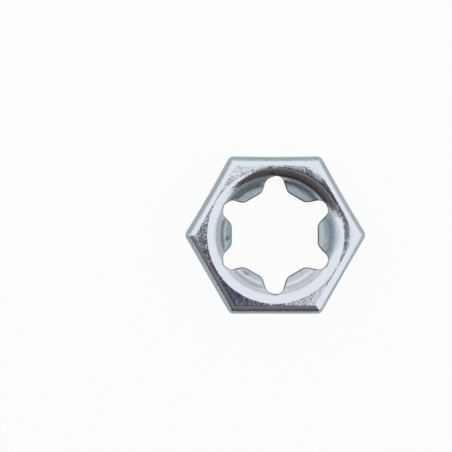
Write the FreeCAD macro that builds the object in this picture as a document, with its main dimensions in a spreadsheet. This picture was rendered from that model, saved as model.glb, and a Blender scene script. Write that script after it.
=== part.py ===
import FreeCAD, Part
import math
import os

import Sketcher
from FreeCAD import Placement, Rotation, Vector

# A self-locking counter nut pressed from one piece of spring-steel sheet.
# The bearing face is up, the thread axis is Z, the hexagon's corners are on X,
# and the six tips of the skirt's free edge stand on the plane Z = 0.

# Driving sizes, in millimetres and degrees
SIZES = {
    "across_flats": 36.0,       # hexagon, outside, flat to flat
    "height": 7.0,              # bearing face to the tips of the skirt
    "sheet": 1.0,               # thickness of the steel, the same all over
    "corner_inside": 0.5,       # corners of the skirt, inside the sheet
    "skirt_bend_inside": 1.2,   # bend from the face into the skirt
    "edge_rise": 2.9,           # free edge at a corner, above its tips
    "edge_slant": 0.8,          # free edge at a tip, outside above inside
    "face_land": 0.1,           # flat face between skirt bend and dish rim
    "dish_bend_inside": 0.5,    # each bend of the dish, inside the sheet
    "wall_width": 1.8,          # from the dish's rim to the tongues' bend
    "wall_angle": 40.0,         # dish wall, down from the face
    "riser_angle": 70.0,        # riser of each tongue, down from the face
    "lip_angle": 4.0,           # lip of each tongue, down from the face
    "first_lip": 2.85,          # edge of the shallowest lip, below the face
    "pitch": 3.0,               # climb of the lips in one turn
    "bore": 19.8,               # between the lips, gripping the thread's root
    "lip_corner": 0.7,          # free corners of the lips
    "notch_round": 2.1,         # outer end of each notch
    "notch_flare": 18.0,        # sides of each notch, off its middle line
}

SIDES = 6
STEP = 360 / SIDES
SHALLOWEST_TONGUE = 60
CLEAR = 1.0

# Formulas that several features share
HALF_FLATS = "(Sizes.across_flats / 2)"
SKIRT_BEND = "(Sizes.skirt_bend_inside + Sizes.sheet)"
CORNER = "(Sizes.corner_inside + Sizes.sheet)"
INNER_BEND = "Sizes.dish_bend_inside"
OUTER_BEND = "(Sizes.dish_bend_inside + Sizes.sheet)"
WALL_ANGLE = "(Sizes.wall_angle * 1 deg)"
RISER_ANGLE = "(Sizes.riser_angle * 1 deg)"
LIP_ANGLE = "(Sizes.lip_angle * 1 deg)"
NOTCH_SIDE = "((90 + Sizes.notch_flare) * 1 deg)"
RIM = f"({HALF_FLATS} - {SKIRT_BEND} - Sizes.face_land)"
WALL_END = f"({RIM} - Sizes.wall_width)"
ROOT = f"({WALL_END} - {OUTER_BEND} * (sin({RISER_ANGLE}) - sin({WALL_ANGLE})))"
BORE = "(Sizes.bore / 2)"

# Places on a sketch's lines and arcs
START, END, CENTRE = range(1, 4)
ORIGIN = -1, START
X_AXIS, Y_AXIS = range(-1, -3, -1)

doc = FreeCAD.newDocument("stamped_lock_nut")


def make_sheet():
    """Spreadsheet with a named cell for each driving size."""
    sheet = doc.addObject("Spreadsheet::Sheet", "Sizes")
    for row, (name, size) in enumerate(SIZES.items(), start=1):
        sheet.set(f"A{row}", name)
        sheet.set(f"B{row}", str(size))
        sheet.setAlias(f"B{row}", name)
    doc.recompute()


def value(formula):
    """What a formula gives now, in millimetres or degrees."""
    result = doc.getObject("Sizes").evalExpression(formula)
    return float(getattr(result, "Value", result))


def ray(angle):
    """Unit vector at an angle in degrees from a sketch's first axis."""
    return Vector(math.cos(math.radians(angle)), math.sin(math.radians(angle)), 0)


def origin_item(body, role):
    """One of the body's own origin planes or axes."""
    return next(item for item in body.Origin.OriginFeatures if item.Role == role)


def feature(body, kind, name, formulas=None, **settings):
    """Feature at the end of the body, with its properties and formulas."""
    item = body.newObject(f"PartDesign::{kind}", name)
    for key, setting in settings.items():
        setattr(item, key, setting)
    for key, formula in (formulas or {}).items():
        item.setExpression(key, formula)
    return item


def sketch_on(body, name, plane="XY_Plane", azimuth=0):
    """Sketch on an origin plane. An upright one can be turned about Z."""
    sketch = body.newObject("Sketcher::SketchObject", name)
    sketch.AttachmentSupport = [(origin_item(body, plane), "")]
    sketch.MapMode = "FlatFace"
    sketch.AttachmentOffset = Placement(Vector(), Rotation(Vector(0, 1, 0), azimuth))
    return sketch


def line(sketch, start, end):
    return sketch.addGeometry(Part.LineSegment(Vector(*start), Vector(*end)), False)


def arc(sketch, centre, radius, start_angle, end_angle):
    circle = Part.Circle(Vector(*centre), Vector(0, 0, 1), radius)
    angles = math.radians(start_angle), math.radians(end_angle)
    return sketch.addGeometry(Part.ArcOfCircle(circle, *angles), False)


def relate(sketch, kind, *places):
    sketch.addConstraint(Sketcher.Constraint(kind, *places))


def drive(sketch, name, kind, formula, *places):
    """Dimension that follows a formula."""
    size = value(formula)
    if kind == "Angle":
        size = math.radians(size)
    index = sketch.addConstraint(Sketcher.Constraint(kind, *places, size))
    sketch.renameConstraint(index, name)
    sketch.setExpression(f"Constraints.{name}", formula)


def is_upright(edge):
    box = edge.BoundBox
    return max(box.XLength, box.YLength) < 1e-4 < box.ZLength


def lies_at(edge, level):
    return edge.BoundBox.ZLength < 1e-4 > abs(edge.BoundBox.ZMin - level)


def from_axis(edge):
    return math.hypot(edge.CenterOfMass.x, edge.CenterOfMass.y)


def fillet(body, name, radius, base, test):
    """Fillet on the edges of the base feature that pass a test."""
    doc.recompute()
    edges = enumerate(base.Shape.Edges, start=1)
    names = [f"Edge{n}" for n, edge in edges if test(edge)]
    return feature(body, "Fillet", name, {"Radius": radius}, Base=(base, names))


def hexagon(body, name, half_flats):
    """Regular hexagon with its corners on X, sized across its flats."""
    sketch = sketch_on(body, name)
    reach = value(half_flats) / math.cos(math.radians(STEP / 2))
    corners = [ray(STEP * n) * reach for n in range(SIDES + 1)]
    sides = [line(sketch, start, end) for start, end in zip(corners, corners[1:])]
    guide = sketch.addGeometry(Part.Circle(Vector(), Vector(0, 0, 1), reach), True)
    relate(sketch, "Coincident", guide, CENTRE, *ORIGIN)
    for n, side in enumerate(sides):
        relate(sketch, "Coincident", side, START, sides[n - 1], END)
        relate(sketch, "PointOnObject", side, START, guide)
    for side in sides[1:]:
        relate(sketch, "Equal", sides[0], side)
    relate(sketch, "PointOnObject", sides[0], START, X_AXIS)
    drive(sketch, "half_flats", "Distance", half_flats, *ORIGIN, sides[0])
    return sketch


def press_cup(body):
    """Hexagonal cup with a rounded skirt, one sheet thick and open below."""
    outside = hexagon(body, "OutsideHexagon", HALF_FLATS)
    block = feature(body, "Pad", "Block", {"Length": "Sizes.height"}, Profile=outside)
    corners = fillet(body, "OutsideCorners", CORNER, block, is_upright)
    face = value("Sizes.height")
    fillet(body, "OutsideBend", SKIRT_BEND, corners, lambda edge: lies_at(edge, face))

    inside = hexagon(body, "InsideHexagon", f"({HALF_FLATS} - Sizes.sheet)")
    depth = "Sizes.height - Sizes.sheet"
    hollow = feature(body, "Pocket", "Hollow", {"Length": depth}, Profile=inside, Reversed=True)
    reach = value(HALF_FLATS) / math.cos(math.radians(STEP / 2)) - value(CORNER)
    corners = fillet(body, "InsideCorners", "Sizes.corner_inside", hollow,
                     lambda edge: is_upright(edge) and from_axis(edge) > reach)
    ceiling = value(depth)
    fillet(body, "InsideBend", "Sizes.skirt_bend_inside", corners,
           lambda edge: lies_at(edge, ceiling))


def edge_station(body, name, distance):
    """What lies beyond one flat's free edge, as seen along the flat."""
    sketch = sketch_on(body, name, "XZ_Plane")
    sketch.setExpression("AttachmentOffset.Base.z", distance)
    half = f"({distance} * tan({STEP / 2} deg))"
    tip = f"(Sizes.edge_slant * (1 + ({distance} - {HALF_FLATS}) / Sizes.sheet))"
    sagitta = f"(Sizes.edge_rise - {tip})"
    radius = f"({half} ^ 2 / (2 * {sagitta}) + {sagitta} / 2)"
    floor = f"(Sizes.edge_slant + {CLEAR})"
    wide, round_, high, low = value(half), value(radius), value("Sizes.edge_rise"), -value(floor)
    swing = math.degrees(math.asin(wide / round_))
    edge = arc(sketch, (0, value(tip) + round_), round_, 270 - swing, 270 + swing)
    right = line(sketch, (wide, high), (wide, low))
    base = line(sketch, (wide, low), (-wide, low))
    left = line(sketch, (-wide, low), (-wide, high))
    relate(sketch, "Coincident", edge, END, right, START)
    relate(sketch, "Coincident", right, END, base, START)
    relate(sketch, "Coincident", base, END, left, START)
    relate(sketch, "Coincident", left, END, edge, START)
    relate(sketch, "Vertical", right)
    relate(sketch, "Vertical", left)
    relate(sketch, "Symmetric", base, START, base, END, Y_AXIS)
    relate(sketch, "PointOnObject", edge, CENTRE, Y_AXIS)
    drive(sketch, "edge_radius", "Radius", radius, edge)
    drive(sketch, "rise", "DistanceY", "Sizes.edge_rise", *ORIGIN, edge, END)
    drive(sketch, "half_width", "DistanceX", half, *ORIGIN, right, END)
    drive(sketch, "floor", "DistanceY", floor, base, START, *ORIGIN)
    return sketch


def trim_free_edge(body):
    """Arc along the free edge of each flat, as the round blank leaves it.

    The cut slants: at the middle of a flat its outside is above its inside.
    """
    outside = edge_station(body, "EdgeOutside", f"({HALF_FLATS} + {CLEAR})")
    inside = edge_station(body, "EdgeInside", f"({HALF_FLATS} - Sizes.sheet - {CLEAR})")
    trim = feature(body, "SubtractiveLoft", "FreeEdge", Profile=outside, Sections=[inside], Ruled=True)
    repeat_round(body, "FreeEdges", trim)


def repeat_round(body, name, item):
    """The same feature at each side of the hexagon."""
    pattern = feature(body, "PolarPattern", name, Originals=[item], Angle=360, Occurrences=SIDES)
    pattern.Axis = (origin_item(body, "Z_Axis"), [""])
    body.Tip = pattern
    return pattern


def open_face(body):
    """Round opening in the bearing face, where the dish joins it."""
    sketch = sketch_on(body, "RimSketch")
    rim = sketch.addGeometry(Part.Circle(Vector(), Vector(0, 0, 1), value(RIM)), False)
    relate(sketch, "Coincident", rim, CENTRE, *ORIGIN)
    drive(sketch, "rim", "Radius", RIM, rim)
    feature(body, "Pocket", "FaceOpening", Profile=sketch, Type="ThroughAll", Reversed=True)


def form_tongue(body, number):
    """One sixth of the dish: rim, wall, riser and lip, all one sheet thick.

    Each lip's edge is a sixth of the pitch below the one before it, so that
    the six lips follow one turn of a right-hand thread.
    """
    azimuth = SHALLOWEST_TONGUE - STEP * number
    sketch = sketch_on(body, f"TongueSection{number + 1}", "XZ_Plane", azimuth)
    drop = f"(Sizes.first_lip + Sizes.pitch * {number} / {SIDES})"

    sheet, bend = value("Sizes.sheet"), value(INNER_BEND)
    wall, slope, lip = value(WALL_ANGLE), value(RISER_ANGLE), value(LIP_ANGLE)
    off_wall, off_riser, off_lip = ray(90 + wall), ray(90 + slope), ray(90 + lip)
    rim_centre = Vector(value(RIM), value("Sizes.height") - sheet - bend)
    wall_start = rim_centre + off_wall * (bend + sheet)
    wall_run = (wall_start.x - value(WALL_END)) / math.cos(math.radians(wall))
    wall_end = wall_start - ray(wall) * wall_run
    root_centre = wall_end - off_wall * (bend + sheet)
    riser_start = root_centre + off_riser * (bend + sheet)
    lip_end = Vector(value(BORE), value("Sizes.height") - value(drop))
    lip_edge = lip_end - Vector(0, sheet / math.cos(math.radians(lip)))
    fold = (off_riser - off_lip) * bend
    above_lip = (riser_start + fold - lip_end) * off_lip
    riser_end = riser_start - ray(slope) * (above_lip / math.sin(math.radians(slope - lip)))
    fold_centre = riser_end + off_riser * bend
    lip_start = riser_end + fold

    above = [
        arc(sketch, rim_centre, bend + sheet, 90, 90 + wall),
        line(sketch, wall_start, wall_end),
        arc(sketch, root_centre, bend + sheet, 90 + wall, 90 + slope),
        line(sketch, riser_start, riser_end),
        arc(sketch, fold_centre, bend, lip - 90, slope - 90),
        line(sketch, lip_start, lip_end),
    ]
    below = [
        arc(sketch, rim_centre, bend, 90, 90 + wall),
        line(sketch, wall_start - off_wall * sheet, wall_end - off_wall * sheet),
        arc(sketch, root_centre, bend, 90 + wall, 90 + slope),
        line(sketch, riser_start - off_riser * sheet, riser_end - off_riser * sheet),
        arc(sketch, fold_centre, bend + sheet, lip - 90, slope - 90),
        line(sketch, lip_start - off_lip * sheet, lip_edge),
    ]
    edge = line(sketch, lip_end, lip_edge)
    seam = line(sketch, rim_centre + Vector(0, bend), rim_centre + Vector(0, bend + sheet))

    for rim_arc, wall_line, root_arc, riser_line, fold_arc, lip_line in (above, below):
        relate(sketch, "Tangent", rim_arc, END, wall_line, START)
        relate(sketch, "Tangent", wall_line, END, root_arc, START)
        relate(sketch, "Tangent", root_arc, END, riser_line, START)
        relate(sketch, "Tangent", riser_line, END, fold_arc, END)
        relate(sketch, "Tangent", fold_arc, START, lip_line, START)
    for arc_above, arc_below in zip(above[::2], below[::2]):
        relate(sketch, "Coincident", arc_above, CENTRE, arc_below, CENTRE)
    relate(sketch, "Coincident", edge, START, above[-1], END)
    relate(sketch, "Coincident", edge, END, below[-1], END)
    relate(sketch, "Coincident", seam, START, below[0], START)
    relate(sketch, "Coincident", seam, END, above[0], START)
    relate(sketch, "Parallel", above[-1], below[-1])
    relate(sketch, "Vertical", edge)
    relate(sketch, "Vertical", seam)
    relate(sketch, "Vertical", above[0], START, above[0], CENTRE)

    rim_above, wall_above, root_above, riser_above, fold_above, lip_above = above
    rim_below, _, root_below, _, fold_below, _ = below
    drive(sketch, "rim_inside", "Radius", INNER_BEND, rim_below)
    drive(sketch, "rim_outside", "Radius", OUTER_BEND, rim_above)
    drive(sketch, "root_inside", "Radius", INNER_BEND, root_below)
    drive(sketch, "root_outside", "Radius", OUTER_BEND, root_above)
    drive(sketch, "fold_inside", "Radius", INNER_BEND, fold_above)
    drive(sketch, "fold_outside", "Radius", OUTER_BEND, fold_below)
    drive(sketch, "wall_angle", "Angle", f"(180 deg + {WALL_ANGLE})", wall_above)
    drive(sketch, "riser_angle", "Angle", f"(180 deg + {RISER_ANGLE})", riser_above)
    drive(sketch, "lip_angle", "Angle", f"(180 deg + {LIP_ANGLE})", lip_above)
    drive(sketch, "rim", "DistanceX", RIM, *ORIGIN, rim_above, START)
    drive(sketch, "face", "DistanceY", "Sizes.height", *ORIGIN, rim_above, START)
    drive(sketch, "wall_end", "DistanceX", WALL_END, *ORIGIN, wall_above, END)
    drive(sketch, "bore", "DistanceX", BORE, *ORIGIN, edge, START)
    drive(sketch, "drop", "DistanceY", drop, edge, START, rim_above, START)

    axis = (origin_item(body, "Z_Axis"), [""])
    name = f"Tongue{number + 1}"
    feature(body, "Revolution", name, Profile=sketch, ReferenceAxis=axis, Angle=STEP, Midplane=True)


def punch_notches(body):
    """Notches between the tongues: a round end and two flared sides."""
    sketch = sketch_on(body, "NotchSketch")
    centre_height = f"({ROOT} - Sizes.notch_round)"
    mouth_height = f"({BORE} - {CLEAR})"
    side_angle, radius = value(NOTCH_SIDE), value("Sizes.notch_round")
    centre = Vector(0, value(centre_height))
    touch = centre + ray(side_angle - 90) * radius
    run = (touch.y - value(mouth_height)) / math.sin(math.radians(side_angle))
    mouth = touch - ray(side_angle) * run
    end = arc(sketch, centre, radius, side_angle - 90, 270 - side_angle)
    right = line(sketch, mouth, touch)
    left = line(sketch, (-mouth.x, mouth.y), (-touch.x, touch.y))
    close = line(sketch, mouth, (-mouth.x, mouth.y))
    relate(sketch, "Tangent", right, END, end, START)
    relate(sketch, "Tangent", left, END, end, END)
    relate(sketch, "Coincident", close, START, right, START)
    relate(sketch, "Coincident", close, END, left, START)
    relate(sketch, "Symmetric", right, START, left, START, Y_AXIS)
    relate(sketch, "PointOnObject", end, CENTRE, Y_AXIS)
    drive(sketch, "end_radius", "Radius", "Sizes.notch_round", end)
    drive(sketch, "end_centre", "DistanceY", centre_height, *ORIGIN, end, CENTRE)
    drive(sketch, "mouth", "DistanceY", mouth_height, *ORIGIN, right, START)
    drive(sketch, "side_angle", "Angle", NOTCH_SIDE, right)
    notch = feature(body, "Pocket", "Notch", Profile=sketch, Type="ThroughAll", Reversed=True)
    return repeat_round(body, "Notches", notch)


def round_lip_corners(body, notches):
    """Rounded free corners of the tongues."""
    bore = value(BORE)
    fillet(body, "LipCorners", "Sizes.lip_corner", notches,
           lambda edge: is_upright(edge) and abs(from_axis(edge) - bore) < 1e-3)


def check_and_write(body):
    """Stop at any failed object, and write the part's shape."""
    doc.recompute()
    failed = [item.Name for item in doc.Objects if {"Invalid", "Error"} & set(item.State)]
    if failed:
        raise RuntimeError(f"failed objects: {failed}")
    shape = body.Shape
    if shape.isNull() or not shape.isValid() or len(shape.Solids) != 1:
        raise RuntimeError(f"{body.Label} is not one valid solid")
    os.makedirs("parts", exist_ok=True)
    shape.exportStep(f"parts/{body.Label}.step")
    box = shape.optimalBoundingBox()
    print(f"{body.Label}: {box.XLength:.3f} x {box.YLength:.3f} x {box.ZLength:.3f} mm,"
          f" {shape.Volume:.1f} mm3, {len(shape.Faces)} faces")


make_sheet()
nut = doc.addObject("PartDesign::Body", "LockNut")
nut.Label = "lock_nut"
press_cup(nut)
trim_free_edge(nut)
open_face(nut)
for tongue_number in range(SIDES):
    form_tongue(nut, tongue_number)
round_lip_corners(nut, punch_notches(nut))
check_and_write(nut)
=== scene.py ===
import math

import bmesh
import bpy
from bpy.props import FloatProperty, FloatVectorProperty, PointerProperty
from mathutils import Matrix, Vector


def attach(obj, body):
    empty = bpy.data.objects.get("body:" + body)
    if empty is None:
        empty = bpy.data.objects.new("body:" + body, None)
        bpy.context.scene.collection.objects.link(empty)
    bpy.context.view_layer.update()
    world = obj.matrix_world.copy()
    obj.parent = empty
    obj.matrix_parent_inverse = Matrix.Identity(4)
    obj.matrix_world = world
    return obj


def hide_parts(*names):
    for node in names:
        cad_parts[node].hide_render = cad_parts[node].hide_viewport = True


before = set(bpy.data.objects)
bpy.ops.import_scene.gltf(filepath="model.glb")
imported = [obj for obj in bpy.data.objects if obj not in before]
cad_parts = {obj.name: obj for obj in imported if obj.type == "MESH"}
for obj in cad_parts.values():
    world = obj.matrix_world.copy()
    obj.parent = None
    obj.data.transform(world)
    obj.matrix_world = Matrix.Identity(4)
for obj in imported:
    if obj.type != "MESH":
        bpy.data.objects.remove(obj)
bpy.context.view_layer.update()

bl_info = {
    "name": "Stamped Lock Nut",
    "version": (1, 0, 0),
    "blender": (4, 5, 0),
    "location": "View3D > Sidebar > Lock Nut",
    "description": "Self-locking counter nut pressed from zinc-plated spring steel",
    "category": "Object",
}

MM = 0.001
# Places and angles closer than this, in millimetres and radians, are one
TOLERANCE = 1e-4

# The nut has as many tongues as sides. Tongues are numbered clockwise from the shallowest,
# at 60 degrees, to the deepest.
SIDES = 6
STEP = math.tau / SIDES

# Columns of faces on each side, and how many of them go round a corner
COLUMNS = 16
CORNER_COLUMNS = 4
# Rows of faces in each stretch of a tongue's section, and the length of a row on the riser,
# in millimetres
RIM_ROWS = 5
WALL_ROWS = 3
ROOT_ROWS = 2
RISER_ROW = 0.45
FOLD_ROWS = 5
LIP_ROWS = 3
# Share of the rim's bend that a row of its own takes, so that the face stays flat up to it
RIM_START = 0.1
# Cuts across the face, and rows in the skirt's bend and on its straight part
FACE_CUTS = 4
BEND_ROWS = 8
SKIRT_ROWS = 5
# Least radius of the hexagon's corners where it is drawn in, in millimetres
LEAST_CORNER = 0.2
# A face is upright if its normal rises less than this
UPRIGHT = 0.1
# Least turn of the surface at a cut edge, and the rows that round such an edge
CUT_TURN = math.radians(50)
CUT_ROWS = 2

# How hollow each flat is in its middle, in millimetres, counter-clockwise from the one at
# 30 degrees
HOLLOWS = 0.13, 0.13, 0.17, 0, 0, 0.06
# Share of a flat that is hollow, and how far out from the start of the skirt's bend the
# hollow is full, in millimetres
HOLLOW_SHARE = 0.9
HOLLOW_FADE = 1.3
# Where the face's sink starts and is full, in from the flats, the length over which it
# fades out towards the notches' tips, in millimetres, and how narrowly it keeps to its side
SINK_START = 1.3
SINK_FULL = 2.6
SINK_FADE = 1.2
SINK_FOCUS = 8
# Small dents from the press: direction in degrees, then distance from the axis, depth
# (below zero where the sheet stands up) and reach, in millimetres
DENTS = ((93, 14.5, -0.18, 1.0), (-126, 11.8, 0.32, 1.0), (187, 11.4, 0.32, 1.1),
         (134, 12.9, 0.12, 0.8))

# How far out of its root each tongue is dull in its middle, in millimetres, and how dull
# its riser and lip are, by the tongue's number. Dull here is rougher plating with a darker
# colour, and that darker colour is painted shade, set tongue by tongue
SHADED_DULL_WALL = 0, 1.4, 0, 0, 0.5, 0.4
RISER_SHADE_AND_DULLNESS = 0.7, 1, 0, 0.25, 0.65, 0.9
LIP_SHADE_AND_DULLNESS = 0.8, 0.25, 0, 0.15, 0.7, 0.6
# Where a tongue's root starts, out of the notches' tips, where its riser is fully dull and
# shaded and where its lip starts, in from there, and how far each zone fades into the next, in
# millimetres
ROOT_START = 0.15
RISER_START = 0.5
LIP_START = 1.6
LIP_FADE = 0.6
FOLD_FADE = 0.15
SKIRT_FADE = 0.15
# Share of the skirt's bend that is dull and darkened by painted shade, how much less of it is
# so on the side painted lighter, and the direction of that side
SHADED_DULL_BEND = 0.5
LIT_SIDE_NARROWING = 0.13
LIT_SIDE = math.radians(-85)
# Painted shade: a dark line painted in the crease of a tongue's root, by the tongue's number:
# how far out of the notches' tips it is darkest, then how far it reaches outwards and inwards
# from there, in millimetres, and how quickly it fades
ROOT_SHADE_PLACES = {0: (0.05, 0.9, 0.4), 5: (-0.9, 1.3, 0.8)}
ROOT_SHADE_FADE = 1.5

# Scale of the plating's noise, to the metre, with its number of finer layers, and depths
# of its bumps, in metres
GRAIN = 2600, 3
WAVES = 420, 1
STREAKS = 2200, 2
GRAIN_DEPTH = 0.05 * MM
WAVE_DEPTH = 0.12 * MM
# Width of the skirt's streaks as a share of their length, how dark they get, and the
# noise at which they start and are full
STREAK_WIDTH = 0.08
STREAK_SHADE = 0.5
STREAK_NOISE = 0.35, 0.75

# Half width of the floor, in metres, its roughness and the share of it that glows where seen
FLOOR_REACH = 1.5
FLOOR_ROUGHNESS = 0.9
FLOOR_GLOW = 0.94
# Distance of the dark screen, in metres, its rows and columns of faces, the sides of its
# round top and the top's level, in metres
FLAG_REACH = 1.2
FLAG_ROWS = 12
FLAG_COLUMNS = 16
FLAG_TOP_SIDES = 24
FLAG_TOP = 0.99 * FLAG_REACH
# Heights between which the screen turns from one shade into the next, in metres
FOOT_FADE = 0.17, 0.24
LOW_FADE = 0.45, 0.95
HIGH_FADE = 1.09, 1.17
# Nearest distance that the camera shows, in metres
NEAR = 0.005


def length(name, description, default):
    """A length that a user may change, given in millimetres."""
    return FloatProperty(name=name, description=description, default=default * MM, unit="LENGTH",
                         precision=5)


def angle(name, description, default):
    """An angle that a user may change, given in degrees."""
    return FloatProperty(name=name, description=description, default=math.radians(default),
                         subtype="ANGLE")


def share(name, description, default):
    """A share that a user may change, from 0 to 1."""
    return FloatProperty(name=name, description=description, default=default, min=0, max=1,
                         subtype="FACTOR")


def colour(name, description, default):
    """A colour that a user may change, in linear light."""
    return FloatVectorProperty(name=name, description=description, default=default, size=3,
                               min=0, max=1, subtype="COLOR")


def ramp(value, start, end):
    """How far a value has come from a start to an end, from 0 to 1."""
    return min(1, max(0, (value - start) / (end - start)))


class LOCKNUT_PG_sizes(bpy.types.PropertyGroup):
    """Sizes of the pressed nut."""

    across_flats: length("Across flats", "Width of the hexagon from flat to flat", 36)
    height: length("Height", "From the skirt's tips to the bearing face", 7)
    sheet: length("Sheet", "Thickness of the spring steel", 1)
    corner: length("Corner", "Outside radius of the hexagon's corners", 1.5)
    skirt_bend: length("Skirt bend", "Outside radius where the face bends into the skirt", 2.2)
    edge_rise: length("Edge rise", "Height of the free edge at a corner", 2.9)
    edge_slant: length("Edge slant", "Outside of the free edge above its inside, at a tip", 0.8)
    face_land: length("Face land", "Flat face between the skirt's bend and the dish", 0.2)
    rim_bend: length("Rim bend", "Outside radius of the dish's rim", 1.5)
    root_bend: length("Root bend", "Outside radius where the dish turns into a riser", 1.5)
    fold: length("Fold", "Radius between the shallowest tongue's riser and its lip", 1.6)
    fold_step: length("Fold step", "How much tighter each fold is than the one before", 0.15)
    easing: length("Easing", "How much rounder each tongue's root is than the one before", 0.36)
    wall_width: length("Wall width", "From the dish's rim to the shallowest tongue's bend", 2.145)
    wall_angle: angle("Wall angle", "Dish wall, down from the face", 40)
    riser_angle: angle("Riser angle", "Riser of the shallowest tongue, down from the face", 65)
    riser_step: angle("Riser step", "How much steeper each riser is than the one before", 2)
    lip_angle: angle("Lip angle", "Lip of each tongue, down from the face", 0.5)
    first_lip: length("First lip", "Edge of the shallowest lip, below the face", 2.85)
    pitch: length("Pitch", "Climb of the lips in one turn", 3)
    bore: length("Bore", "Between the lips' edges", 19.8)
    lip_corner: length("Lip corner", "Rounding of the lips' free corners", 0.3)
    notch_round: length("Notch round", "Radius of the round end of a notch", 2.1)
    notch_flare: angle("Notch flare", "Side of a notch, off its middle line", 18)
    punched_edge: length("Punched edge", "Rounding of every cut edge", 0.22)
    dishing: length("Dishing", "Sink of the face towards the rim where it sinks most", 0.13)
    dishing_side: angle("Dishing side", "Direction from the axis where the face sinks most", 25)


class LOCKNUT_PG_finish_and_shade(bpy.types.PropertyGroup):
    """Colours and grain of the zinc plating, with the colours of its painted shade."""

    bright: colour("Bright zinc", "Plating on the face and in the dish", (0.79, 0.82, 0.86))
    # Drawn colour: partly duller plating on the drawn skirt, partly painted shade on the skirt's
    # bend and the tongues
    drawn_and_shade: colour("Drawn zinc", "Duller plating on the drawn skirt", (0.385, 0.47, 0.51))
    cut: colour("Cut edge", "Thin plating on the punched edges", (0.16, 0.18, 0.20))
    # Painted shade: a dark line in the crease of a tongue's root
    root_shade_colour: colour("Painted root shade", "Dark line in the crease of a tongue's root", (0.02, 0.03, 0.045))
    roughness: share("Roughness", "Blur of the plating's reflections", 0.11)
    drawn_roughness: share("Drawn roughness", "Blur on the drawn skirt and the cut edges", 0.36)
    folded_roughness: share("Folded roughness", "Blur on the folded tongues", 0.4)
    mottle: share("Mottle", "Depth of the fine mottled grain", 0.45)
    ripple: share("Ripple", "Depth of the wider unevenness from pressing", 0.4)


class LOCKNUT_PG_studio(bpy.types.PropertyGroup):
    """Light, floor and camera."""

    floor: colour("Floor", "Colour of the floor", (0.95, 0.95, 0.95))
    room: colour("Room", "Colour of the pale room that the metal reflects", (0.93, 0.95, 0.98))
    flag: colour("Flag", "Colour of the dark screen on one side", (0.32, 0.28, 0.28))
    flag_low: colour("Flag, low", "Colour of the dark screen's lower part", (0.17, 0.14, 0.135))
    flag_foot: colour("Flag, foot", "Colour of the dark screen near the floor",
                      (0.01, 0.008, 0.008))
    flag_high: colour("Flag, high", "Colour of the dark screen near the zenith",
                      (0.06, 0.075, 0.125))
    flag_from: angle("Flag from", "Direction where the dark screen starts", 200)
    flag_to: angle("Flag to", "Direction where the dark screen ends", 298)
    flag_top: angle("Flag top", "Half width of the screen's round top", 6.1)
    top_side: angle("Top side", "Direction that the screen's round top lies off the zenith", 268)
    top_shift: share("Top shift", "How far off it lies, as a share of its radius", 0.5)
    flag_lean: angle("Flag lean", "How far the screen's foot is turned against its upper half", 30)
    camera_x: length("Camera X", "Camera beside the nut's axis, along X", -11.25)
    camera_y: length("Camera Y", "Camera beside the nut's axis, along Y", 2.065)
    camera_rise: length("Camera rise", "Camera above the bearing face", 168)
    lens: FloatProperty(name="Lens", description="Focal length in millimetres", default=59.3,
                        subtype="DISTANCE_CAMERA")


def in_mm(sizes, name):
    """A size in millimetres, in which the sheet is built."""
    return getattr(sizes, name) / MM


def flat_radius(sizes):
    """Distance from the axis to a flat."""
    return in_mm(sizes, "across_flats") / 2


def rim_radius(sizes):
    """Distance from the axis at which the face turns into the dish's rim."""
    return flat_radius(sizes) - in_mm(sizes, "skirt_bend") - in_mm(sizes, "face_land")


def notch_tip(sizes):
    """Distance of a notch's round end from the axis: where the shared wall ends."""
    return rim_radius(sizes) - in_mm(sizes, "wall_width")


def edges_of(verts):
    """All edges of some vertices, each of them once."""
    return list(dict.fromkeys(edge for vert in verts for edge in vert.link_edges))


def slope(turn):
    """Direction in a section that leads inwards and down by an angle."""
    return Vector((-math.cos(turn), 0, -math.sin(turn)))


def run(bm, tip, step, cuts):
    """Carry a section on by straight edges. Returns its new tip."""
    for _ in range(cuts):
        made = bmesh.ops.extrude_vert_indiv(bm, verts=[tip])
        tip = made["verts"][0]
        bmesh.ops.translate(bm, verts=[tip], vec=step / cuts)
    return tip


def bend(bm, tip, centre, turn, cuts):
    """Carry a section on by an arc about a centre. Returns its new tip."""
    made = bmesh.ops.spin(bm, geom=[tip], cent=centre, axis=(0, 1, 0), angle=turn, steps=cuts)
    return next(item for item in made["geom_last"] if isinstance(item, bmesh.types.BMVert))


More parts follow.
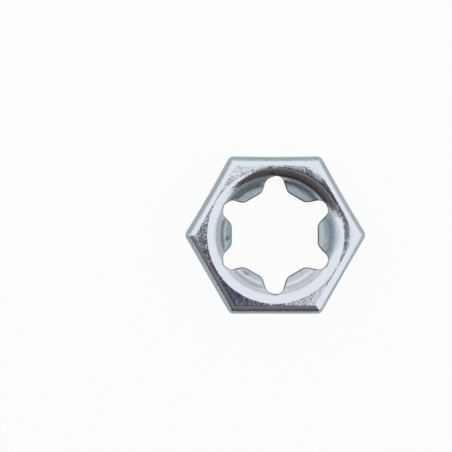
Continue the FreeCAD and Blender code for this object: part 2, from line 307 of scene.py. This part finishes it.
def draw_tongue_section(bm, sizes, number):
    """Upper side of a tongue's section, from the rim of the dish to the lip's edge."""
    drop = in_mm(sizes, "first_lip") + in_mm(sizes, "pitch") * number / SIDES
    wall, lip = sizes.wall_angle, sizes.lip_angle
    riser = sizes.riser_angle + sizes.riser_step * number
    rim, rim_bend = rim_radius(sizes), in_mm(sizes, "rim_bend")
    root_bend = in_mm(sizes, "root_bend") + in_mm(sizes, "easing") * number
    fold = in_mm(sizes, "fold") - in_mm(sizes, "fold_step") * number
    height, bore = in_mm(sizes, "height"), in_mm(sizes, "bore") / 2

    tip = bm.verts.new((rim, 0, height))
    tip = bend(bm, tip, (rim, 0, height - rim_bend), -wall * RIM_START, 1)
    tip = bend(bm, tip, (rim, 0, height - rim_bend), -wall * (1 - RIM_START), RIM_ROWS)
    wall_run = tip.co.x - (rim - in_mm(sizes, "wall_width"))
    tip = run(bm, tip, slope(wall) * wall_run / math.cos(wall), WALL_ROWS)
    off_wall = Vector((-math.sin(wall), 0, math.cos(wall)))
    tip = bend(bm, tip, tip.co - off_wall * root_bend, wall - riser, ROOT_ROWS)

    off_riser = Vector((-math.sin(riser), 0, math.cos(riser)))
    off_lip = Vector((-math.sin(lip), 0, math.cos(lip)))
    lip_end = Vector((bore, 0, height - drop))
    # The riser is as long as the root's bend and the fold leave it.
    turned = (off_riser - off_lip) * fold
    riser_run = (tip.co + turned - lip_end).dot(off_lip) / math.sin(riser - lip)
    tip = run(bm, tip, slope(riser) * riser_run, max(1, round(riser_run / RISER_ROW)))
    tip = bend(bm, tip, tip.co + off_riser * fold, riser - lip, FOLD_ROWS)
    corner = in_mm(sizes, "lip_corner")
    rest = (lip_end - tip.co).length - corner
    tip = run(bm, tip, slope(lip) * rest, LIP_ROWS)
    run(bm, tip, slope(lip) * corner, 1)


def corner_inset(sizes, radius):
    """How far a lip's rounded corner draws its side in, at a distance from the axis."""
    corner = in_mm(sizes, "lip_corner")
    inside = corner - (radius - in_mm(sizes, "bore") / 2)
    return corner - math.sqrt(corner ** 2 - min(corner, max(0, inside)) ** 2)


def notch_half_angle(sizes, radius):
    """Half of a notch, as an angle about the axis, at a distance from it."""
    flare, end = sizes.notch_flare, in_mm(sizes, "notch_round")
    tip = notch_tip(sizes)
    centre = tip - end
    if radius > tip - TOLERANCE:
        return 0
    # The straight side ends where it touches the round end.
    side = end + centre * math.sin(flare)
    touch = math.hypot(end * math.cos(flare), centre + end * math.sin(flare))
    if radius < touch:
        return math.asin(side / radius) - flare
    swing = (radius ** 2 - centre ** 2 - end ** 2) / (2 * centre * end)
    return math.asin(end * math.sqrt(max(0, 1 - swing ** 2)) / radius)


def press_tongue(bm, sizes, number):
    """One sixth of the dish, squeezed between its two notches, its lip's edge made straight."""
    old = set(bm.verts)
    draw_tongue_section(bm, sizes, number)
    section = [vert for vert in bm.verts if vert not in old]
    bmesh.ops.rotate(bm, verts=section, matrix=Matrix.Rotation(-STEP / 2, 3, "Z"))
    bmesh.ops.spin(bm, geom=section + edges_of(section), axis=(0, 0, 1), angle=STEP,
                   steps=COLUMNS)
    made = [vert for vert in bm.verts if vert not in old]
    tip = notch_tip(sizes)
    bore = in_mm(sizes, "bore") / 2
    for vert in made:
        radius = math.hypot(vert.co.x, vert.co.y)
        azimuth = math.atan2(vert.co.y, vert.co.x)
        side = notch_half_angle(sizes, radius) + corner_inset(sizes, radius) / radius
        azimuth *= 1 - side / (STEP / 2)
        straight = ramp(radius, tip, bore) ** 2
        radius += straight * bore * (1 / math.cos(azimuth) - 1)
        vert.co.x, vert.co.y = radius * math.cos(azimuth), radius * math.sin(azimuth)
    bmesh.ops.rotate(bm, verts=made, matrix=Matrix.Rotation(STEP - STEP * number, 3, "Z"))


def outline(sizes, inset, column):
    """Place on the hexagon's outline, drawn in by an inset, for a column from 0 at +X."""
    corner, place = divmod(column + CORNER_COLUMNS // 2, COLUMNS)
    arc = max(in_mm(sizes, "corner") - inset, LEAST_CORNER)
    reach = (flat_radius(sizes) - inset - arc) / math.cos(STEP / 2)
    turn = (min(place, CORNER_COLUMNS) / CORNER_COLUMNS - 0.5) * STEP
    spot = Vector((reach + arc * math.cos(turn), arc * math.sin(turn), 0))
    if place > CORNER_COLUMNS:
        along = (place - CORNER_COLUMNS) / (COLUMNS - CORNER_COLUMNS)
        start = Vector((reach + arc * math.cos(-turn), arc * math.sin(-turn), 0))
        spot = spot.lerp(Matrix.Rotation(STEP, 3, "Z") @ start, along)
    return Matrix.Rotation(STEP * corner, 3, "Z") @ spot


def round_axis(vert):
    """Sorting key that starts just before the corner on +X."""
    return (math.atan2(vert.co.y, vert.co.x) + TOLERANCE) % math.tau


def put_row(sizes, ring, inset, level):
    """Put a ring of vertices on the hexagon's outline, drawn in by an inset, at a level."""
    for column, vert in enumerate(sorted(ring, key=round_axis)):
        vert.co = outline(sizes, inset, column)
        vert.co.z = level


def lay_face(bm, sizes):
    """Face between the dish's rim and the start of the skirt's bend, column by column."""
    height = in_mm(sizes, "height")
    rim = {vert for edge in bm.edges if edge.is_boundary for vert in edge.verts
           if vert.co.z > height - TOLERANCE}
    outer = bmesh.ops.create_circle(bm, segments=SIDES * COLUMNS, radius=1)["verts"]
    put_row(sizes, outer, in_mm(sizes, "skirt_bend"), height)
    made = bmesh.ops.extrude_edge_only(bm, edges=edges_of(outer))["geom"]
    inner = [item for item in made if isinstance(item, bmesh.types.BMVert)]
    for vert, place in zip(sorted(inner, key=round_axis), sorted(rim, key=round_axis)):
        vert.co = place.co
    across = [edge for edge in edges_of(inner) if not all(vert in inner for vert in edge.verts)]
    bmesh.ops.subdivide_edges(bm, edges=across, cuts=FACE_CUTS, use_grid_fill=True)
    bmesh.ops.remove_doubles(bm, verts=bm.verts, dist=TOLERANCE)


def draw_skirt(bm, sizes):
    """Draw the face's outer edge down into the skirt, outside first, then back up inside."""
    height, sheet = in_mm(sizes, "height"), in_mm(sizes, "sheet")
    outer, inner = in_mm(sizes, "skirt_bend"), in_mm(sizes, "skirt_bend") - sheet
    turns = [row / BEND_ROWS * math.pi / 2 for row in range(1, BEND_ROWS + 1)]
    falls = [(height - outer) * (1 - row / SKIRT_ROWS) for row in range(1, SKIRT_ROWS + 1)]
    rows = [(outer * (1 - math.sin(turn)), height - outer * (1 - math.cos(turn)))
            for turn in turns]
    rows += [(0, fall) for fall in falls] + [(sheet, fall) for fall in reversed(falls)]
    rows += [(sheet + inner * (1 - math.sin(turn)), height - sheet - inner * (1 - math.cos(turn)))
             for turn in [*reversed(turns), 0]]

    start = rim_radius(sizes) + in_mm(sizes, "face_land") / 2
    upright = [face for face in bm.faces if abs(face.normal.z) < UPRIGHT
               and from_middle(face.calc_center_median()) > start]
    bmesh.ops.delete(bm, geom=upright, context="FACES")
    edges = [edge for edge in bm.edges
             if edge.is_boundary and all(vert.co.z > height - TOLERANCE for vert in edge.verts)]
    for inset, level in rows:
        made = bmesh.ops.extrude_edge_only(bm, edges=edges)["geom"]
        ring = [item for item in made if isinstance(item, bmesh.types.BMVert)]
        put_row(sizes, ring, inset, level)
        edges = [item for item in made if isinstance(item, bmesh.types.BMEdge)
                 and all(vert in ring for vert in item.verts)]
    bmesh.ops.remove_doubles(bm, verts=bm.verts, dist=TOLERANCE)


def from_middle(place):
    """How far out a place in plan lies, square to the nearest flat."""
    azimuth = math.atan2(place.y, place.x) % STEP - STEP / 2
    return math.hypot(place.x, place.y) * math.cos(azimuth)


def free_edge(sizes, place):
    """Height of the skirt's free edge at a place in plan."""
    out = from_middle(place)
    tip = in_mm(sizes, "edge_slant") * (1 + (out - flat_radius(sizes)) / in_mm(sizes, "sheet"))
    # The arc's radius comes from half of its chord and its rise, from a tip to a corner.
    rise = in_mm(sizes, "edge_rise") - tip
    half = out * math.tan(STEP / 2)
    radius = half ** 2 / (2 * rise) + rise / 2
    along = math.sqrt(max(0, place.xy.length ** 2 - out ** 2))
    return tip + radius - math.sqrt(radius ** 2 - along ** 2)


def trim_skirt(bm, sizes):
    """Raise the skirt's rows so that its free edge follows an arc on each flat."""
    top = in_mm(sizes, "height") - in_mm(sizes, "skirt_bend")
    for vert in bm.verts:
        if vert.co.z < top and vert.co.xy.length > rim_radius(sizes):
            vert.co.z += (1 - vert.co.z / top) * free_edge(sizes, vert.co)


def round_cuts(bm, sizes):
    """Round every cut edge and mark it for its darker finish."""
    edges = [edge for edge in bm.edges if edge.calc_face_angle() > CUT_TURN]
    made = bmesh.ops.bevel(bm, geom=edges, affect="EDGES", offset=in_mm(sizes, "punched_edge"),
                           offset_type="OFFSET", segments=CUT_ROWS, profile=0.5, material=-1)
    cut = bm.verts.layers.float.new("cut")
    for vert in {vert for face in made["faces"] for vert in face.verts}:
        vert[cut] = 1


def sink_rim(bm, sizes):
    """Let the face sink a little towards the dish, most of all on one side."""
    half = flat_radius(sizes)
    for vert in bm.verts:
        radius = vert.co.xy.length
        azimuth = math.atan2(vert.co.y, vert.co.x)
        inside = ramp(radius, half - SINK_START, half - SINK_FULL)
        fade = ramp(radius, notch_tip(sizes), notch_tip(sizes) + SINK_FADE)
        place = math.cos((azimuth - sizes.dishing_side) / 2) ** SINK_FOCUS
        vert.co.z -= in_mm(sizes, "dishing") * inside * fade * place


def dent_sheet(bm):
    """Push a few small dents into the sheet."""
    for direction, distance, depth, reach in DENTS:
        middle = Matrix.Rotation(math.radians(direction), 3, "Z") @ Vector((distance, 0, 0))
        for vert in bm.verts:
            off = min(1, (vert.co.xy - middle.xy).length / reach)
            vert.co.z -= depth * (1 - off ** 2) ** 2


def mark_finish_and_shade(bm, sizes):
    """Mark where the plating is dull and darkened by painted shade on the skirt and the tongues,
    and where a dark line of painted shade lies in a tongue's root.
    """
    # One mask carries both the duller drawn plating and the painted shade of the bend and the
    # tongues
    drawn_and_shade = bm.verts.layers.float.new("drawn_and_shade")
    folded = bm.verts.layers.float.new("folded")
    root_shade_mask = bm.verts.layers.float.new("root_shade_mask")
    bm.normal_update()
    half, bend_radius = flat_radius(sizes), in_mm(sizes, "skirt_bend")
    root = notch_tip(sizes) + ROOT_START
    lip_start = root - LIP_START
    for vert in bm.verts:
        radius = vert.co.xy.length
        azimuth = math.atan2(vert.co.y, vert.co.x)
        number = round((STEP - azimuth) / STEP) % SIDES

        # Painted shade: each tongue's wall, riser and lip take the darker colour by its own listed
        # amount
        wall = SHADED_DULL_WALL[number] * math.cos(azimuth * SIDES / 2) ** 2
        riser = ramp(radius, root + wall, root - RISER_START)
        lip = ramp(radius, lip_start, lip_start - LIP_FADE)
        inside = riser * (RISER_SHADE_AND_DULLNESS[number] * (1 - lip) + LIP_SHADE_AND_DULLNESS[number] * lip)
        # Painted light: the band of painted shade on the skirt's bend is narrower on one side,
        # which is painted lighter
        lit_side_share = max(0, math.cos(azimuth - LIT_SIDE))
        skirt = half - (SHADED_DULL_BEND - LIT_SIDE_NARROWING * lit_side_share) * bend_radius
        outside = ramp(from_middle(vert.co), skirt, skirt + SKIRT_FADE)
        vert[drawn_and_shade] = max(outside, inside)
        vert[folded] = ramp(radius, root + FOLD_FADE, root - FOLD_FADE)

        # Painted shade: a dark line in the root's crease on the upper side of two tongues
        if vert.normal.z > 0 and number in ROOT_SHADE_PLACES:
            middle, outwards, inwards = ROOT_SHADE_PLACES[number]
            off = radius - notch_tip(sizes) - middle
            reach = outwards if off > 0 else inwards
            vert[root_shade_mask] = max(0, 1 - abs(off) / reach) ** ROOT_SHADE_FADE


def hollow_flats(bm, sizes):
    """Draw the middle of each flat in a little, from the skirt's bend down."""
    start = flat_radius(sizes) - in_mm(sizes, "skirt_bend")
    reach = flat_radius(sizes) * math.tan(STEP / 2) * HOLLOW_SHARE
    for vert in bm.verts:
        flat = math.floor(math.atan2(vert.co.y, vert.co.x) / STEP) % SIDES
        out = from_middle(vert.co)
        along = math.sqrt(max(0, vert.co.xy.length ** 2 - out ** 2)) / reach
        near = ramp(out, start, start + HOLLOW_FADE)
        inwards = HOLLOWS[flat] * near * max(0, 1 - along ** 2)
        vert.co -= Matrix.Rotation(STEP * (flat + 0.5), 3, "Z") @ Vector((inwards, 0, 0))


def build_sheet(sizes):
    """Whole nut in millimetres: upper side, lower side, skirt and rounded cut edges."""
    bm = bmesh.new()
    for number in range(SIDES):
        press_tongue(bm, sizes, number)
    bmesh.ops.remove_doubles(bm, verts=bm.verts, dist=TOLERANCE)
    lay_face(bm, sizes)
    bmesh.ops.recalc_face_normals(bm, faces=bm.faces)
    if max(bm.faces, key=lambda face: face.calc_center_median().z).normal.z < 0:
        bmesh.ops.reverse_faces(bm, faces=bm.faces)
    bmesh.ops.solidify(bm, geom=bm.faces, thickness=in_mm(sizes, "sheet"))
    draw_skirt(bm, sizes)
    bmesh.ops.recalc_face_normals(bm, faces=bm.faces)
    trim_skirt(bm, sizes)
    round_cuts(bm, sizes)
    sink_rim(bm, sizes)
    dent_sheet(bm)
    # The marks are set out on straight flats, so the flats are hollowed last.
    mark_finish_and_shade(bm, sizes)
    hollow_flats(bm, sizes)
    return bm


def add(tree, kind):
    """A new node."""
    return tree.nodes.new(kind)


def zone(tree, name):
    """A zone that the mesh marks on its vertices."""
    node = add(tree, "ShaderNodeAttribute")
    node.attribute_name = name
    return node.outputs["Fac"]


def noise(tree, place, scale, detail):
    """Noise of a scale, to the metre, with so many finer layers."""
    node = add(tree, "ShaderNodeTexNoise")
    node.inputs["Scale"].default_value = scale
    node.inputs["Detail"].default_value = detail
    tree.links.new(place, node.inputs["Vector"])
    return node.outputs["Fac"]


def scaled(tree, value, most, low, high):
    """Stretch a value's range from low to high over zero to the most."""
    node = add(tree, "ShaderNodeMapRange")
    node.inputs["From Min"].default_value = low
    node.inputs["From Max"].default_value = high
    node.inputs["To Max"].default_value = most
    tree.links.new(value, node.inputs["Value"])
    return node.outputs["Result"]


def mix(tree, kind, factor, first, second):
    """Mix two colours or numbers, each given as itself or as a socket."""
    node = add(tree, "ShaderNodeMix")
    node.data_type = kind
    tree.links.new(factor, node.inputs["Factor"])
    for socket, source in (("A", first), ("B", second)):
        entry = next(item for item in node.inputs if item.name == socket and item.enabled)
        if isinstance(source, bpy.types.NodeSocket):
            tree.links.new(source, entry)
        else:
            entry.default_value = source if kind == "FLOAT" else (*source, 1)
    return next(item for item in node.outputs if item.enabled)


def relief(tree, height, strength, depth, below):
    """Bumps of a depth in metres on top of a coarser relief."""
    node = add(tree, "ShaderNodeBump")
    node.inputs["Strength"].default_value = strength
    node.inputs["Distance"].default_value = depth
    tree.links.new(height, node.inputs["Height"])
    if below:
        tree.links.new(below, node.inputs["Normal"])
    return node.outputs["Normal"]


def reckon(tree, operation, first, second):
    """Reckon with a socket and a second socket or number."""
    node = add(tree, "ShaderNodeMath")
    node.operation = operation
    tree.links.new(first, node.inputs[0])
    if isinstance(second, bpy.types.NodeSocket):
        tree.links.new(second, node.inputs[1])
    else:
        node.inputs[1].default_value = second
    return node.outputs[0]


def zinc_material(finish):
    """Zinc plating: bright on the face, dull, streaked and darkened by painted shade on the
    skirt's bend and the tongues, dark where cut, with painted shade in two tongues' roots.
    """
    material = bpy.data.materials.new("zinc_plating")
    material.use_nodes = True
    tree = material.node_tree
    surface = tree.nodes["Principled BSDF"]
    surface.inputs["Metallic"].default_value = 1
    place = add(tree, "ShaderNodeTexCoord").outputs["Object"]
    drawn_and_shade = zone(tree, "drawn_and_shade")
    cut = zone(tree, "cut")
    grain = noise(tree, place, *GRAIN)
    waves = noise(tree, place, *WAVES)
    stretched = add(tree, "ShaderNodeMapping")
    stretched.inputs["Scale"].default_value = (1, 1, STREAK_WIDTH)
    tree.links.new(place, stretched.inputs["Vector"])
    streaks = noise(tree, stretched.outputs["Vector"], *STREAKS)
    streaks = scaled(tree, streaks, STREAK_SHADE, *STREAK_NOISE)

    # Darker colour where drawn: duller plating and painted shade
    clean = mix(tree, "RGBA", drawn_and_shade, finish.bright, finish.drawn_and_shade)
    streaked = mix(tree, "RGBA", streaks, clean, finish.cut)
    body = mix(tree, "RGBA", drawn_and_shade, clean, streaked)
    body = mix(tree, "RGBA", cut, body, finish.cut)
    # Painted shade: the dark line in two tongues' roots
    body = mix(tree, "RGBA", zone(tree, "root_shade_mask"), body, finish.root_shade_colour)
    tree.links.new(body, surface.inputs["Base Color"])

    blur = mix(tree, "FLOAT", zone(tree, "folded"), finish.roughness, finish.folded_roughness)
    blur = mix(tree, "FLOAT", drawn_and_shade, blur, finish.drawn_roughness)
    blur = mix(tree, "FLOAT", cut, blur, finish.drawn_roughness)
    tree.links.new(blur, surface.inputs["Roughness"])

    uneven = relief(tree, waves, finish.ripple, WAVE_DEPTH, None)
    uneven = relief(tree, grain, finish.mottle, GRAIN_DEPTH, uneven)
    tree.links.new(uneven, surface.inputs["Normal"])
    return material


class LOCKNUT_OT_press(bpy.types.Operator):
    """Press the lock nut from one sheet of zinc-plated spring steel"""

    bl_idname = "lock_nut.press"
    bl_label = "Press Lock Nut"

    def execute(self, context):
        sizes = context.scene.lock_nut_sizes
        bm = build_sheet(sizes)
        mesh = bpy.data.meshes.new("pressed_nut")
        bmesh.ops.scale(bm, vec=Vector((MM, MM, MM)), verts=bm.verts)
        bm.to_mesh(mesh)
        bm.free()
        mesh.shade_smooth()
        nut = bpy.data.objects.new("pressed_nut", mesh)
        context.scene.collection.objects.link(nut)
        mesh.materials.append(zinc_material(context.scene.lock_nut_finish))
        smooth = nut.modifiers.new("Smooth", "SUBSURF")
        smooth.levels = smooth.render_levels = 1
        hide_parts("lock_nut")
        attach(nut, "root")
        return {"FINISHED"}


def pale_material(studio):
    """Pale paint that takes the nut's shadow and mostly glows where it is seen."""
    material = bpy.data.materials.new("pale_floor")
    material.use_nodes = True
    tree = material.node_tree
    surface = tree.nodes["Principled BSDF"]
    surface.inputs["Base Color"].default_value = (*studio.floor, 1)
    surface.inputs["Roughness"].default_value = FLOOR_ROUGHNESS
    path = add(tree, "ShaderNodeLightPath")
    seen = path.outputs["Is Camera Ray"]
    for ray in ("Is Glossy Ray", "Is Transmission Ray"):
        seen = reckon(tree, "MAXIMUM", seen, path.outputs[ray])
    blend = add(tree, "ShaderNodeMixShader")
    tree.links.new(reckon(tree, "MULTIPLY", seen, FLOOR_GLOW), blend.inputs[0])
    tree.links.new(surface.outputs[0], blend.inputs[1])
    tree.links.new(add(tree, "ShaderNodeEmission").outputs[0], blend.inputs[2])
    tree.links.new(blend.outputs[0], tree.nodes["Material Output"].inputs["Surface"])
    return material


def lay_floor(context, studio):
    """Pale floor under the nut."""
    bm = bmesh.new()
    bmesh.ops.create_grid(bm, size=FLOOR_REACH)
    mesh = bpy.data.meshes.new("floor")
    bm.to_mesh(mesh)
    bm.free()
    mesh.materials.append(pale_material(studio))
    floor = bpy.data.objects.new("floor", mesh)
    context.scene.collection.objects.link(floor)


def light_room(context, studio):
    """Pale room all round, which lights the nut and shows in its metal."""
    world = bpy.data.worlds.new("pale_room")
    context.scene.world = world
    world.use_nodes = True
    world.node_tree.nodes["Background"].inputs["Color"].default_value = (*studio.room, 1)


def cloth_material(studio):
    """Dark cloth in four shades, from its foot up to the zenith."""
    material = bpy.data.materials.new("dark_cloth")
    material.use_nodes = True
    tree = material.node_tree
    cloth = tree.nodes["Principled BSDF"]
    cloth.inputs["Roughness"].default_value = 1
    cloth.inputs["Specular IOR Level"].default_value = 0
    split = add(tree, "ShaderNodeSeparateXYZ")
    tree.links.new(add(tree, "ShaderNodeTexCoord").outputs["Object"], split.inputs[0])
    foot, low, high = (scaled(tree, split.outputs["Z"], 1, *heights)
                       for heights in (FOOT_FADE, LOW_FADE, HIGH_FADE))
    shade = mix(tree, "RGBA", low, studio.flag_low, studio.flag)
    shade = mix(tree, "RGBA", foot, studio.flag_foot, shade)
    shade = mix(tree, "RGBA", high, shade, studio.flag_high)
    tree.links.new(shade, cloth.inputs["Base Color"])
    return material


def hang_flag(context, studio):
    """Dark screen from the floor up to the zenith, whose reflection draws the metal's forms."""
    bm = bmesh.new()
    foot = bm.verts.new((FLAG_REACH, 0, 0))
    bmesh.ops.spin(bm, geom=[foot], axis=(0, 1, 0), angle=-math.pi / 2, steps=FLAG_ROWS)
    section = bm.verts[:] + bm.edges[:]
    bmesh.ops.rotate(bm, verts=bm.verts, matrix=Matrix.Rotation(studio.flag_from, 3, "Z"))
    bmesh.ops.spin(bm, geom=section, axis=(0, 0, 1), angle=studio.flag_to - studio.flag_from,
                   steps=FLAG_COLUMNS)
    for vert in bm.verts:
        lean = studio.flag_lean * ramp(vert.co.z, FLAG_REACH / 2, 0)
        vert.co = Matrix.Rotation(lean, 3, "Z") @ vert.co
    top = FLAG_REACH * math.tan(studio.flag_top)
    shift = top * studio.top_shift
    middle = Matrix.Rotation(studio.top_side, 3, "Z") @ Vector((shift, 0, FLAG_TOP))
    bmesh.ops.create_circle(bm, cap_ends=True, segments=FLAG_TOP_SIDES, radius=top,
                            matrix=Matrix.Translation(middle))
    mesh = bpy.data.meshes.new("flag")
    bm.to_mesh(mesh)
    bm.free()
    mesh.materials.append(cloth_material(studio))
    flag = bpy.data.objects.new("flag", mesh)
    flag.visible_camera = False
    context.scene.collection.objects.link(flag)


def hang_camera(context, studio):
    """Camera that looks straight down on the bearing face, from a little aside."""
    camera = bpy.data.cameras.new("camera")
    camera.lens = studio.lens
    camera.clip_start = NEAR
    holder = bpy.data.objects.new("camera", camera)
    face = context.scene.lock_nut_sizes.height
    holder.location = (studio.camera_x, studio.camera_y, face + studio.camera_rise)
    context.scene.collection.objects.link(holder)
    context.scene.camera = holder
    context.scene.view_settings.view_transform = "Standard"


class LOCKNUT_OT_stage(bpy.types.Operator):
    """Set the nut on a pale floor in a pale room, under a camera"""

    bl_idname = "lock_nut.stage"
    bl_label = "Set Stage"

    def execute(self, context):
        studio = context.scene.lock_nut_studio
        lay_floor(context, studio)
        light_room(context, studio)
        hang_flag(context, studio)
        hang_camera(context, studio)
        return {"FINISHED"}


class LOCKNUT_PT_panel(bpy.types.Panel):
    """Lists the nut's operators, sizes and colours"""

    bl_label = "Lock Nut"
    bl_idname = "LOCKNUT_PT_panel"
    bl_space_type = "VIEW_3D"
    bl_region_type = "UI"
    bl_category = "Lock Nut"

    def draw(self, context):
        layout = self.layout
        for operator in (LOCKNUT_OT_press, LOCKNUT_OT_stage):
            layout.operator(operator.bl_idname)
        for title, group in (("Sizes", context.scene.lock_nut_sizes),
                             ("Finish", context.scene.lock_nut_finish),
                             ("Studio", context.scene.lock_nut_studio)):
            layout.label(text=title)
            column = layout.column(align=True)
            for key in group.__annotations__:
                column.prop(group, key)


CLASSES = (LOCKNUT_PG_sizes, LOCKNUT_PG_finish_and_shade, LOCKNUT_PG_studio, LOCKNUT_OT_press,
           LOCKNUT_OT_stage, LOCKNUT_PT_panel)


def register():
    for item in CLASSES:
        bpy.utils.register_class(item)
    bpy.types.Scene.lock_nut_sizes = PointerProperty(type=LOCKNUT_PG_sizes)
    bpy.types.Scene.lock_nut_finish = PointerProperty(type=LOCKNUT_PG_finish_and_shade)
    bpy.types.Scene.lock_nut_studio = PointerProperty(type=LOCKNUT_PG_studio)


def unregister():
    del bpy.types.Scene.lock_nut_studio
    del bpy.types.Scene.lock_nut_finish
    del bpy.types.Scene.lock_nut_sizes
    for item in reversed(CLASSES):
        bpy.utils.unregister_class(item)


def main():
    register()
    bpy.ops.lock_nut.press()
    bpy.ops.lock_nut.stage()


if __name__ == "__main__":
    main()
